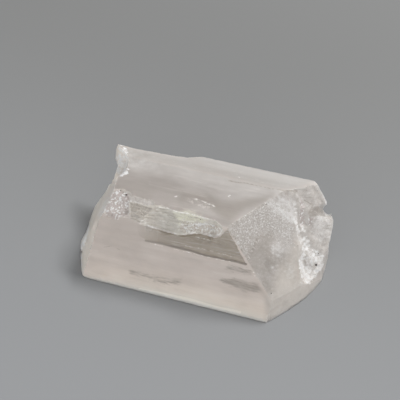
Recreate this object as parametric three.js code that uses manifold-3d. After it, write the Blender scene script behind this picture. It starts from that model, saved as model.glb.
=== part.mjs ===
// Danburite crystal: one loose, stubby prism with an oblique end face, broken at both ends and
// chipped along its upper front edge.
//
// Millimetres. X runs along the prism (the c axis) towards the oblique end face, Z is up. The
// crystal lies on one of its four broad prism faces. While it is being cut, the front lower edge is
// the X axis. At the end the whole solid is moved so that its origin is under the middle of its box.
import * as THREE from 'three';
import { mergeVertices } from 'three/addons/utils/BufferGeometryUtils.js';
import Module from 'manifold-3d';

const { cos, sin, tan, hypot, max, min, exp } = Math;
const radians = THREE.MathUtils.degToRad;

// ---- Driving dimensions -------------------------------------------------------------------------

const PRISM_ANGLE = radians(57.1); // acute angle between two broad prism faces
const NARROW_TURN = radians(18.9); // turn from a broad prism face to the narrow one beside it
const END_TILT = radians(60); // turn from the c axis to the normal of the oblique end face

const HEIGHT = 15.4; // lower broad face to upper broad face
const BASE_WIDTH = 15.8; // lower broad face, front to back
const TOP_BACK = 20.1; // where the upper broad face gives way to the narrow back face
const STRIP_RISE = 0.5; // height of the narrow face under the front face
const STRIP_FOOT = 0.12; // how far that face sets the front lower edge back

const BLANK_LEFT = -12; // the uncut prism is longer than the crystal at both ends
const BLANK_RIGHT = 60;
const END_FACE_X = 25.9; // where the oblique end face meets the upper front edge

const RIDGE_Y = HEIGHT / tan(PRISM_ANGLE); // the upper front edge, above its foot
const RIDGE_TURN = PRISM_ANGLE / 2; // the ridge's bisector leans forward by this from upright

// The crest that runs down the oblique end face: how far from the ridge's end it starts, how it
// leans and bends, and the break beyond it.
const CREST = { from: 15.3, lean: 0.38, bend: 0.03, wave: 0.25, height: 0.2, width: 0.5 };
const BEYOND_CREST = { turn: 4.5, raised: 0.3, sunken: -0.45, roughness: 0.35 };
const FEATHER = { at: [18.9, -4.7], radius: 2.6, depth: 0.8, rib: 0.1 };
const END_HOLLOW = { at: [20.0, 7.3], radius: 1.7, depth: 1.7, stretch: 1.3 };

const RIGHT_DENT = { at: [3.5, 2.5], radius: 4, depth: 0.5, rib: 0.1 };
const RIGHT_RECESS = { behind: 4, depth: 0.5, reach: 1.5 };
const RIGHT_BULGE = 0.01;
const TOE_BULGE = 0.012;

const FRONT_TURN = { before: 4.5, slope: 0.31 }; // the left break's front part
const SPIKE = { across: 11.5, up: 6, height: 2.2, width: 2.6, length: 4.5 };
const SPIKE_ROOT = { at: [7.4, 6.2], radius: 3.1, depth: 1.4, rib: 0.15 };
const BELOW_SPIKE = { at: [0.8, 7.0], radius: 3.4, depth: 1.9 };

const BACK_FLAKE_DEPTH = 1.25;
const BACK_FLAKE_RISE = 0.016; // how fast the flake runs out towards the right

const ACROSS = 60; // size of a cutting block that only has to be large enough
const COLOUR = 0xcfc4ba;
const ROUGHNESS = 0.12;

// ---- Relief of broken surfaces ------------------------------------------------------------------
// Heights in mm over a plane, as functions of two coordinates on it. Positive stands out.

// Low waves in three directions, about as long as 6 times size.
function swell(u, v, size, height) {
  const first = sin(u / size + 0.7);
  const second = sin((0.6 * u + v) / size + 2.1);
  const third = sin((1.4 * v - 0.5 * u) / size + 4.0);
  return height * (0.45 * first + 0.33 * second + 0.22 * third);
}

// A shell-shaped hollow with ribs round the point that was struck.
function shell(u, v, { at, radius, depth, rib = 0, stretch = 1 }) {
  const reach = hypot((u - at[0]) / stretch, v - at[1]) / radius;
  const bowl = depth * max(0, 1 - reach * reach);
  return rib * cos(14 * reach) * exp(-2 * reach * reach) - bowl;
}

// A smooth step up by height where t passes edge, over a stretch of about width.
function step(t, edge, width, height) {
  return (height * (1 + Math.tanh((t - edge) / width))) / 2;
}

// ---- Cutting blocks -----------------------------------------------------------------------------

const wasm = await Module();
wasm.setup();

function toManifold(geometry) {
  const closed = geometry.clone();
  closed.deleteAttribute('normal');
  closed.deleteAttribute('uv');
  const merged = mergeVertices(closed, 1e-5);
  const mesh = new wasm.Mesh({
    numProp: 3,
    vertProperties: new Float32Array(merged.attributes.position.array),
    triVerts: new Uint32Array(merged.index.array),
  });
  return new wasm.Manifold(mesh);
}

// A block that lies on the outer side of a plane. The plane passes through a point and faces
// outwards from the crystal. The block's inner face follows relief(u, v), where u runs along
// the given direction and v runs across it.
function cuttingBlock({ through, facing, along = [1, 0, 0], size = [ACROSS, ACROSS], cell, relief }) {
  const outward = new THREE.Vector3(...facing).normalize();
  const across = new THREE.Vector3().crossVectors(outward, new THREE.Vector3(...along)).normalize();
  const lengthwise = new THREE.Vector3().crossVectors(across, outward);
  const [length, width] = size;
  const columns = cell ? Math.round(length / cell) : 1;
  const rows = cell ? Math.round(width / cell) : 1;
  const block = new THREE.BoxGeometry(length, width, ACROSS, columns, rows, 1);
  const position = block.attributes.position;
  for (let i = 0; i < position.count; i += 1) {
    const u = position.getX(i);
    const v = position.getY(i);
    const isInner = position.getZ(i) < 0;
    const innerHeight = relief ? relief(u, v) : 0;
    position.setZ(i, isInner ? innerHeight : ACROSS);
  }
  const placing = new THREE.Matrix4().makeBasis(lengthwise, across, outward);
  placing.setPosition(...through);
  block.applyMatrix4(placing);
  return toManifold(block);
}

// ---- The prism as it grew -----------------------------------------------------------------------

// Section across the prism, front to back and up.
function prismSection() {
  const backSlope = 1 / tan(PRISM_ANGLE);
  const bevelSlope = tan(NARROW_TURN);
  // The narrow back face falls from the top, the broad back face rises from the base.
  const rise = (HEIGHT + bevelSlope * (TOP_BACK - BASE_WIDTH)) / (1 + bevelSlope * backSlope);
  return new THREE.Shape([
    new THREE.Vector2(STRIP_FOOT, 0),
    new THREE.Vector2(BASE_WIDTH, 0),
    new THREE.Vector2(BASE_WIDTH + backSlope * rise, rise),
    new THREE.Vector2(TOP_BACK, HEIGHT),
    new THREE.Vector2(RIDGE_Y, HEIGHT),
    new THREE.Vector2(STRIP_RISE * backSlope, STRIP_RISE),
  ]);
}

function prism() {
  const blank = new THREE.ExtrudeGeometry(prismSection(), {
    depth: BLANK_RIGHT - BLANK_LEFT,
    bevelEnabled: false,
  });
  // The section's plane becomes YZ and the extrusion runs along X.
  const turn = new THREE.Matrix4().makeBasis(
    new THREE.Vector3(0, 1, 0),
    new THREE.Vector3(0, 0, 1),
    new THREE.Vector3(1, 0, 0),
  );
  turn.setPosition(BLANK_LEFT, 0, 0);
  blank.applyMatrix4(turn);
  return toManifold(blank);
}

// The oblique end face is symmetrical about the ridge.
const END_FACING = [cos(END_TILT), -sin(END_TILT) * sin(RIDGE_TURN), sin(END_TILT) * cos(RIDGE_TURN)];

// Beyond a crest that runs down it, the growth face gives way to a rough break: raised at the top,
// sunken lower down, with a hollow at its outer edge and a shell-shaped feather at its foot.
function obliqueEnd() {
  return cuttingBlock({
    through: [END_FACE_X, RIDGE_Y, HEIGHT],
    facing: END_FACING,
    size: [ACROSS, ACROSS],
    cell: 0.75,
    relief: (u, v) => {
      const { turn, raised, sunken, roughness } = BEYOND_CREST;
      const curve = CREST.bend * max(0, v - turn) ** 2 + CREST.wave * sin(v * 1.7);
      const beyond = u - CREST.from + CREST.lean * v + curve;
      const lip = CREST.height * exp(-((beyond / CREST.width) ** 2));
      const level = sunken + step(v, turn, 1, raised - sunken);
      const rough = swell(u, v, 0.5, roughness);
      const broken = level + rough + shell(u, v, FEATHER) + shell(u, v, END_HOLLOW);
      return beyond < -3 * CREST.width ? 0 : lip + step(beyond, 0.5, 0.35, 1) * broken;
    },
  });
}

// ---- Breaks -------------------------------------------------------------------------------------

// The toe: a smooth break that undercuts the front corner of the oblique end face.
function toeBreak() {
  return cuttingBlock({
    through: [41.2, 5.0, 0],
    facing: [0.72, -0.58, 0.38],
    along: [0, 0, 1],
    size: [26, 34],
    cell: 1.3,
    relief: (u, v) => swell(u, v, 2.4, 0.25) - TOE_BULGE * v * v,
  });
}

// The steep break that ends the crystal on the right.
function rightBreak() {
  return cuttingBlock({
    through: [45.5, 14, 0],
    facing: [0.99, 0, 0.06],
    along: [0, 0, 1],
    size: [40, 44],
    cell: 1.1,
    relief: (u, v) => {
      const { behind, depth, reach } = RIGHT_RECESS;
      const recess = depth * (1 - exp(min(0, v + behind) / reach));
      return swell(u, v, 1.3, 0.3) - RIGHT_BULGE * max(0, v) ** 2 + shell(u, v, RIGHT_DENT) - recess;
    },
  });
}

// The break that takes off the back corner, between the narrow back face and the right break.
function cornerBreak() {
  return cuttingBlock({
    through: [40.6, 23.9, 12.6],
    facing: [0.62, 0.72, 0.2],
    along: [0, 0, 1],
    size: [30, 14],
    cell: 1.0,
    relief: (u, v) => swell(u, v, 0.8, 0.2),
  });
}

// The left break leans to the right as it rises. Its front part turns towards the front face, and a
// spike is left standing at its upper back corner, with hollows at its root and below it.
function leftBreak() {
  return cuttingBlock({
    through: [0.15, 12, 7.7],
    facing: [-0.91, 0, 0.41],
    along: [0, 0, 1],
    size: [34, 48],
    cell: 0.8,
    relief: (u, v) => {
      const frontTurn = -FRONT_TURN.slope * max(0, -v - FRONT_TURN.before);
      const fromSpike = ((v - SPIKE.across) / SPIKE.width) ** 2 + ((u - SPIKE.up) / SPIKE.length) ** 2;
      const spike = SPIKE.height * exp(-fromSpike);
      const hollows = shell(u, v, SPIKE_ROOT) + shell(u, v, BELOW_SPIKE);
      return frontTurn + spike + hollows + swell(u, v, 1.7, 0.3);
    },
  });
}

// Chips along the ridge, from the left: a rough hollow, a small facet and a long slanting flake.
const RIDGE_CHIPS = [
  { from: 1.0, to: 7.3, depth: 1.3, slant: 0.02, end: 1.6, rough: 0.16 },
  { from: 7.9, to: 11.6, depth: 0.75, slant: -0.1, end: 0.6, rough: 0.06 },
  { from: 11.2, to: 23.6, depth: 0.68, slant: 0.36, end: 0.8, rough: 0.1 },
];

function ridgeChips() {
  const middle = 13;
  return cuttingBlock({
    through: [middle, RIDGE_Y, HEIGHT],
    facing: [0, -sin(RIDGE_TURN), cos(RIDGE_TURN)],
    size: [32, 14],
    cell: 0.55,
    relief: (u, v) => {
      const x = u + middle;
      const heights = RIDGE_CHIPS.map(({ from, to, depth, slant, end, rough }) => {
        const outside = max(from - x, x - to, 0);
        return slant * v - depth + end * outside + swell(u, v, 0.5, rough);
      });
      return min(...heights, 3);
    },
  });
}

// A long shallow flake off the back edge, beside the spike.
function backFlake() {
  return cuttingBlock({
    through: [8, 24.6, 14],
    facing: [0.02, 0.86, 0.5],
    size: [26, 12],
    cell: 0.9,
    relief: (u, v) => BACK_FLAKE_RISE * max(0, u) ** 2 - BACK_FLAKE_DEPTH + swell(u, v, 1.6, 0.15),
  });
}

// ---- The crystal --------------------------------------------------------------------------------

function crystalGeometry() {
  const cutters = [
    obliqueEnd(),
    toeBreak(),
    rightBreak(),
    cornerBreak(),
    leftBreak(),
    ridgeChips(),
    backFlake(),
  ];
  const solid = cutters.reduce((rest, cutter) => rest.subtract(cutter), prism());
  const { vertProperties, triVerts } = solid.getMesh();
  const geometry = new THREE.BufferGeometry();
  geometry.setAttribute('position', new THREE.BufferAttribute(new Float32Array(vertProperties), 3));
  geometry.setIndex(new THREE.BufferAttribute(new Uint32Array(triVerts), 1));
  geometry.computeBoundingBox();
  const { min: low, max: high } = geometry.boundingBox;
  geometry.translate(-(low.x + high.x) / 2, -(low.y + high.y) / 2, -low.z);
  return geometry;
}

const crystal = new THREE.Mesh(
  crystalGeometry(),
  new THREE.MeshStandardMaterial({ color: COLOUR, roughness: ROUGHNESS, metalness: 0 }),
);
crystal.name = 'danburite_crystal';

const danburite = new THREE.Group();
danburite.add(crystal);

export default danburite;
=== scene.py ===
"""Danburite crystal: a loose, milky, see-through prism with broken ends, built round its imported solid.

The frame is in metres: X runs along the prism and Z is up. Sizes are written as millimetres times MM.
"""

import math
from collections import defaultdict

import bmesh
import bpy
import numpy as np
from bpy.props import FloatProperty, FloatVectorProperty, PointerProperty
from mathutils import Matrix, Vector
from mathutils.bvhtree import BVHTree
from mathutils.geometry import delaunay_2d_cdt
from mathutils.kdtree import KDTree


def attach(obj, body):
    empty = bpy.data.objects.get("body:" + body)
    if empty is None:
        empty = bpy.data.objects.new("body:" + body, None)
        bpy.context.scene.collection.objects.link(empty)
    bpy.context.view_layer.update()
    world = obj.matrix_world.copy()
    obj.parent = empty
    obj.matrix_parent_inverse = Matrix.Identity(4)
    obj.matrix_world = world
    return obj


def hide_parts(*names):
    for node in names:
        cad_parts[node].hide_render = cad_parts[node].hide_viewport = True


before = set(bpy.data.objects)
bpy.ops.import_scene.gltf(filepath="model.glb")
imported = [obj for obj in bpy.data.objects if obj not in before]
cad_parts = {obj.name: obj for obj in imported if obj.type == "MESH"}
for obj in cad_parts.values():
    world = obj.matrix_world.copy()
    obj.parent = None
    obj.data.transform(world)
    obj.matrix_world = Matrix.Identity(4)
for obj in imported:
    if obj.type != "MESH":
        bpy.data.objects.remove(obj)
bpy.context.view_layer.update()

bl_info = {
    "name": "Danburite crystal",
    "version": (1, 0, 0),
    "blender": (4, 5, 0),
    "location": "View3D > Sidebar > Crystal",
    "description": "Grows a danburite prism with its veils, cracks and specks",
    "category": "Object",
}

MM = 0.001
NODE = "danburite_crystal"
BODY = "root"
DANBURITE_IOR = 1.63


def metres(point):
    """A point that is given in millimetres."""
    return tuple(part * MM for part in point)


def direction(azimuth, elevation):
    """The direction that is turned so far from the front and raised so far from level."""
    level = math.cos(elevation)
    return Vector((math.sin(azimuth) * level, -math.cos(azimuth) * level, math.sin(elevation)))


# ---- Node trees --------------------------------------------------------------------------------


def is_vector(value):
    """Whether a value is a vector, or the output of a node that gives one."""
    if isinstance(value, Signal):
        return value.socket.type == "VECTOR"
    return isinstance(value, (tuple, Vector))


def maths(operation, swapped=False):
    """An operator of signals and numbers, which adds its maths node."""

    def operator(signal, *others):
        values = (*others, signal) if swapped else (signal, *others)
        kind = "ShaderNodeVectorMath" if any(is_vector(value) for value in values) else "ShaderNodeMath"
        return signal.tree.node(kind, {"operation": operation}, dict(enumerate(values)))

    return operator


def measure(operation):
    """An operator of vectors that gives a number."""

    def operator(*vectors):
        sockets = dict(enumerate(vectors))
        return vectors[0].tree.node("ShaderNodeVectorMath", {"operation": operation}, sockets, out="Value")

    return operator


class Signal:
    """One output of a node, usable in expressions: each operator adds its maths node."""

    def __init__(self, tree, socket):
        self.tree = tree
        self.socket = socket

    __add__ = __radd__ = maths("ADD")
    __sub__ = maths("SUBTRACT")
    __rsub__ = maths("SUBTRACT", swapped=True)
    __truediv__ = maths("DIVIDE")
    __pow__ = maths("POWER")
    times = maths("MULTIPLY")
    least = maths("MINIMUM")
    most = maths("MAXIMUM")
    sine = maths("SINE")
    length = measure("LENGTH")
    dot = measure("DOT_PRODUCT")

    def __mul__(self, other):
        if is_vector(self) and not is_vector(other):
            return self.tree.node("ShaderNodeVectorMath", {"operation": "SCALE"}, {0: self, "Scale": other})
        return self.times(other)

    __rmul__ = __mul__

    def __neg__(self):
        return self * -1.0

    def clipped(self):
        """This kept between 0 and 1."""
        return self.tree.node("ShaderNodeClamp", {}, {0: self})

    def also(self, output):
        """Another output of the same node."""
        return Signal(self.tree, self.socket.node.outputs[output])

    def part(self, axis):
        """This vector's x, y or z, as 0, 1 or 2."""
        return self.tree.node("ShaderNodeSeparateXYZ", {}, {0: self}, out=axis)

    def between(self, low, high):
        """0 where this is low, 1 where it is high, with a soft start and end."""
        settings = {"interpolation_type": "SMOOTHSTEP"}
        sockets = {0: self, 1: low, 2: high}
        return self.tree.node("ShaderNodeMapRange", settings, sockets)


class Tree:
    """A node tree and the one way to add a node to it."""

    def __init__(self, tree):
        self.tree = tree

    def node(self, kind, settings=None, sockets=None, out=0):
        """Adds a node, with its settings first and then the values or links of its sockets."""
        node = self.tree.nodes.new(kind)
        for name, value in (settings or {}).items():
            setattr(node, name, value)
        for key, value in (sockets or {}).items():
            if isinstance(value, Signal):
                self.tree.links.new(value.socket, node.inputs[key])
            else:
                node.inputs[key].default_value = value
        return Signal(self, node.outputs[out]) if node.outputs else None

    def noise(self, place, size, detail=2.0, roughness=0.5):
        """Noise from 0 to 1 whose waves are about size long."""
        sockets = {"Vector": place, "Scale": 1 / size, "Detail": detail, "Roughness": roughness}
        return self.node("ShaderNodeTexNoise", {}, sockets)

    def cells(self, place, size, out=0, feature="F1"):
        """Irregular cells about size across: 0 gives the distance, 1 a random vector, 2 the middle."""
        sockets = {"Vector": place, "Scale": 1 / size}
        return self.node("ShaderNodeTexVoronoi", {"feature": feature}, sockets, out)

    def blend(self, factor, first, second):
        """A colour between two colours."""
        return self.node("ShaderNodeMix", {"data_type": "RGBA"}, {0: factor, 6: first, 7: second}, out=2)

    def attribute(self, name):
        return self.node("ShaderNodeAttribute", {"attribute_name": name}, {}, out="Fac")


class GeometryTree(Tree):
    """A Geometry Nodes tree with named inputs for its sizes."""

    def __init__(self, name, sizes, whole_numbers=()):
        super().__init__(bpy.data.node_groups.new(name, "GeometryNodeTree"))
        ends = [("Geometry", "INPUT", "Geometry"), ("Geometry", "OUTPUT", "Geometry")]
        ends += [(size, "INPUT", "Float") for size in sizes]
        ends += [(number, "INPUT", "Int") for number in whole_numbers]
        for label, in_out, kind in ends:
            self.tree.interface.new_socket(name=label, in_out=in_out, socket_type=f"NodeSocket{kind}")
        self.entry = self.node("NodeGroupInput")

    def given(self, name):
        return self.entry.also(name)

    def attribute(self, name):
        return self.node("GeometryNodeInputNamedAttribute", {"data_type": "FLOAT"}, {"Name": name})

    def softened(self, name, times=3):
        """An attribute spread over its neighbours, so that a zone has a soft border."""
        sockets = {0: self.attribute(name), "Iterations": times}
        return self.node("GeometryNodeBlurAttribute", {"data_type": "FLOAT"}, sockets)

    def softened_normal(self, times):
        """The normal, turning gently over every edge, so that what is pushed in there never folds."""
        sockets = {0: self.node("GeometryNodeInputNormal"), "Iterations": times}
        return self.node("GeometryNodeBlurAttribute", {"data_type": "FLOAT_VECTOR"}, sockets)

    def finish(self, geometry, material):
        """Ends the tree in Realize Instances and Set Material."""
        real = self.node("GeometryNodeRealizeInstances", {}, {"Geometry": geometry})
        done = self.node("GeometryNodeSetMaterial", {}, {"Geometry": real, "Material": material})
        self.node("NodeGroupOutput", {}, {"Geometry": done})


def grown(obj, tree, values):
    """Runs a Geometry Nodes tree on an object and keeps the result as its plain mesh."""
    modifier = obj.modifiers.new(tree.tree.name, "NODES")
    modifier.node_group = tree.tree
    for item in tree.tree.interface.items_tree:
        if item.in_out == "INPUT" and item.name in values:
            modifier[item.identifier] = values[item.name]
    evaluated = obj.evaluated_get(bpy.context.evaluated_depsgraph_get())
    mesh = bpy.data.meshes.new_from_object(evaluated)
    obj.modifiers.remove(modifier)
    obj.data = mesh
    return obj


def new_material(name):
    """A material with an empty tree."""
    material = bpy.data.materials.new(name)
    material.use_nodes = True
    material.node_tree.nodes.clear()
    return material, Tree(material.node_tree)


def new_object(name, data):
    """An object of a mesh, lamp or camera, in the scene."""
    obj = bpy.data.objects.new(name, data)
    bpy.context.scene.collection.objects.link(obj)
    return obj


# ---- The crystal's mesh ------------------------------------------------------------------------

GROWTH_FACE_AREA = 30 * MM * MM  # flat faces at least this large grew, and the rest broke
FOOT_FACE_AREA = 15 * MM * MM  # the same for the narrow face along the foot
PLANE_STEP = 0.3 * MM  # faces whose planes lie within a step of each other are looked at together
PLANE_GAP = 0.02 * MM  # how far a face may lie from the plane that it belongs to
PLANE_FACING = 0.9998  # cosine of the angle it may lean from that plane
MERGE_GAP = 0.0001 * MM
ZONES = ("broken", "end_face", "base", "top", "bevel", "back", "strip")  # the front is none of these
BORDER_SHARE = 0.55  # share of a cell that fine points keep away from a face's border
WITHIN_BORDER = 1  # the kind of filling that leaves out what lies beyond the border
SAME_POINT = 1e-5  # share of a cell
CREASE_ANGLE = math.radians(20)  # an edge that turns more than this can chip and wear
SHARP_ANGLE = math.radians(22)  # an edge that turns more than this is shaded sharp


def merged_solid():
    """The CAD solid as one closed mesh in a bmesh."""
    solid = bmesh.new()
    solid.from_mesh(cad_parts[NODE].data)
    bmesh.ops.remove_doubles(solid, verts=solid.verts, dist=MERGE_GAP)
    bmesh.ops.recalc_face_normals(solid, faces=solid.faces)
    solid.faces.ensure_lookup_table()
    return solid


def flat_regions(solid):
    """The solid's faces in groups: all of each growth face, and each broken face by itself."""
    flats = defaultdict(list)
    for face in solid.faces:
        offset = face.normal.dot(face.calc_center_median())
        key = tuple(round(part, 1) for part in face.normal) + (round(offset / PLANE_STEP),)
        flats[key].append(face)
    planes = []
    for faces in flats.values():
        largest = max(faces, key=lambda face: face.calc_area())
        at_foot = largest.normal.y < -0.9
        if sum(face.calc_area() for face in faces) > (FOOT_FACE_AREA if at_foot else GROWTH_FACE_AREA):
            planes.append((largest.normal.copy(), largest.calc_center_median(), []))
    broken = []
    for face in solid.faces:
        for normal, point, members in planes:
            away = (face.calc_center_median() - point).dot(normal)
            if face.normal.dot(normal) > PLANE_FACING and abs(away) < PLANE_GAP:
                members.append(face)
                break
        else:
            broken.append((None, face.calc_center_median(), [face]))
    return planes + broken


def zone_of(normal):
    """The name of the growth face that has this normal."""
    if normal is None:
        return "broken"
    if normal.x > 0.3:
        return "end_face"
    if normal.z < -0.9:
        return "base"
    if normal.z > 0.98:
        return "top"
    if normal.z > 0.9:
        return "bevel"
    if normal.y > 0.5:
        return "back"
    return "front" if normal.y > -0.9 else "strip"


def cell_of(normal, sizes):
    """How fine the mesh is on a face with this normal, or on a broken one."""
    cells = {
        "broken": sizes.break_cell,
        "end_face": sizes.end_cell,
        "base": sizes.base_cell,
        "back": sizes.back_cell,
    }
    return cells.get(zone_of(normal), sizes.face_cell)


def split_borders(regions, sizes):
    """Cuts every border edge into even steps. Returns all places, and each edge's row of them."""
    finest = {}
    for normal, _, faces in regions:
        members = set(faces)
        for face in faces:
            for edge in face.edges:
                if all(other in members for other in edge.link_faces):
                    continue
                finest[edge] = min(finest.get(edge, math.inf), cell_of(normal, sizes))
    places, corners, rows = [], {}, {}
    for edge, cell in finest.items():
        start, end = edge.verts
        for vert in edge.verts:
            if vert not in corners:
                corners[vert] = len(places)
                places.append(vert.co.copy())
        steps = max(1, round(edge.calc_length() / cell))
        inner = [len(places) + i for i in range(steps - 1)]
        places += [start.co.lerp(end.co, (i + 1) / steps) for i in range(steps - 1)]
        rows[edge] = [corners[start], *inner, corners[end]]
    return places, rows


def held_by(triangles, points):
    """Which points lie in one of the flat triangles."""
    held = np.zeros(len(points), bool)
    for a, b, c in triangles:
        sides = [
            (q - p)[0] * (points[:, 1] - p[1]) - (q - p)[1] * (points[:, 0] - p[0])
            for p, q in ((a, b), (b, c), (c, a))
        ]
        held |= np.min(sides, axis=0) >= 0
    return held


def inside_points(triangles, border, cell):
    """Points of an even triangular grid that lie in the flat triangles and clear of the border."""
    low, high = border.min(0), border.max(0)
    rise = cell * math.sqrt(3) / 2
    found = [np.empty((0, 2))]
    for row, y in enumerate(np.arange(low[1] + rise / 2, high[1], rise)):
        x = np.arange(low[0] + cell * (0.25 + 0.5 * (row % 2)), high[0], cell)
        found.append(np.stack([x, np.full(len(x), y)], 1))
    points = np.concatenate(found)
    points = points[held_by(triangles, points)]
    tree = KDTree(len(border))
    for i, (x, y) in enumerate(border):
        tree.insert((x, y, 0), i)
    tree.balance()
    clear = [tree.find((x, y, 0))[2] > BORDER_SHARE * cell for x, y in points]
    return points[np.array(clear, bool)]


def fill_region(region, rows, places, sizes):
    """Triangles that fill one flat region with even small faces, as numbers of places."""
    normal, _, faces = region
    facing = faces[0].normal if normal is None else normal
    cell = cell_of(normal, sizes)
    across = facing.orthogonal().normalized()
    up = facing.cross(across)
    middle = faces[0].calc_center_median()

    def flat(point):
        return np.array([(point - middle).dot(across), (point - middle).dot(up)])

    members = set(faces)
    edges = {edge for face in faces for edge in face.edges}
    border_edges = [edge for edge in edges if not all(face in members for face in edge.link_faces)]
    numbers, lines = {}, []
    for edge in sorted(border_edges, key=lambda edge: edge.index):
        row = rows[edge]
        for number in row:
            numbers.setdefault(number, len(numbers))
        lines += [(numbers[p], numbers[q]) for p, q in zip(row, row[1:])]
    known = list(numbers)
    border = np.array([flat(places[number]) for number in known])
    triangles = [[flat(vert.co) for vert in face.verts] for face in faces]
    inner = inside_points(triangles, border, cell)
    for x, y in inner:
        known.append(len(places))
        places.append(middle + across * x + up * y)
    points = np.concatenate([border, inner])
    in_cells = [Vector(point / cell) for point in points]
    _, _, filled, origins, _, _ = delaunay_2d_cdt(in_cells, lines, [], WITHIN_BORDER, SAME_POINT)
    corners = np.array([[origins[i][0] for i in face] for face in filled])
    if len(faces) > 1:  # what fills a hollow in the face is left out
        corners = corners[held_by(triangles, points[corners].mean(1))]
    return [[known[i] for i in face] for face in corners]


def fine_mesh(solid, sizes):
    """The solid cut into small even faces, with its own flats, creases and zones kept."""
    regions = flat_regions(solid)
    places, rows = split_borders(regions, sizes)
    zones = {name: defaultdict(list) for name in ZONES}
    triangles = []
    for region in regions:
        made = fill_region(region, rows, places, sizes)
        triangles += made
        for number in {number for triangle in made for number in triangle}:
            for name in ZONES:
                zones[name][number].append(name == zone_of(region[0]))
    mesh = bpy.data.meshes.new("crystal")
    mesh.from_pydata(places, [], triangles)
    for name, found in zones.items():
        values = [sum(found[i]) / max(1, len(found[i])) for i in range(len(places))]
        mesh.attributes.new(name, "FLOAT", "POINT").data.foreach_set("value", values)
    store_edge_distance(mesh, solid, rows, places)
    return mesh


def store_edge_distance(mesh, solid, rows, places):
    """Stores how far each vertex is from the nearest sharp edge that a growth face has."""
    sharp = [edge for edge in rows if edge.calc_face_angle(0) > CREASE_ANGLE]
    creases = KDTree(sum(len(rows[edge]) for edge in sharp))
    for edge in sharp:
        for number in rows[edge]:
            creases.insert(places[number], number)
    creases.balance()
    away = [creases.find(vertex.co)[2] for vertex in mesh.vertices]
    mesh.attributes.new("edge", "FLOAT", "POINT").data.foreach_set("value", away)


# ---- Marks on and under the faces --------------------------------------------------------------
# The marks are laid out on a plan that looks at the ridge from above its front face. Millimetres:
# across runs along the crystal and up runs over the ridge. A mark is a closed outline, where its
# width is None, or a line with a half width.

PLAN_TURN = math.radians(14.77)
PLAN_TILT = math.radians(59.0)
PLAN_TOWARDS = direction(PLAN_TURN, PLAN_TILT)
PLAN_ACROSS = Vector((math.cos(PLAN_TURN), math.sin(PLAN_TURN), 0))
PLAN_UP = PLAN_TOWARDS.cross(PLAN_ACROSS)
TURNED_AWAY = -0.05  # cosine past which a face looks away from the plan and takes no mark
FAR_OUTSIDE = -9.0

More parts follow.
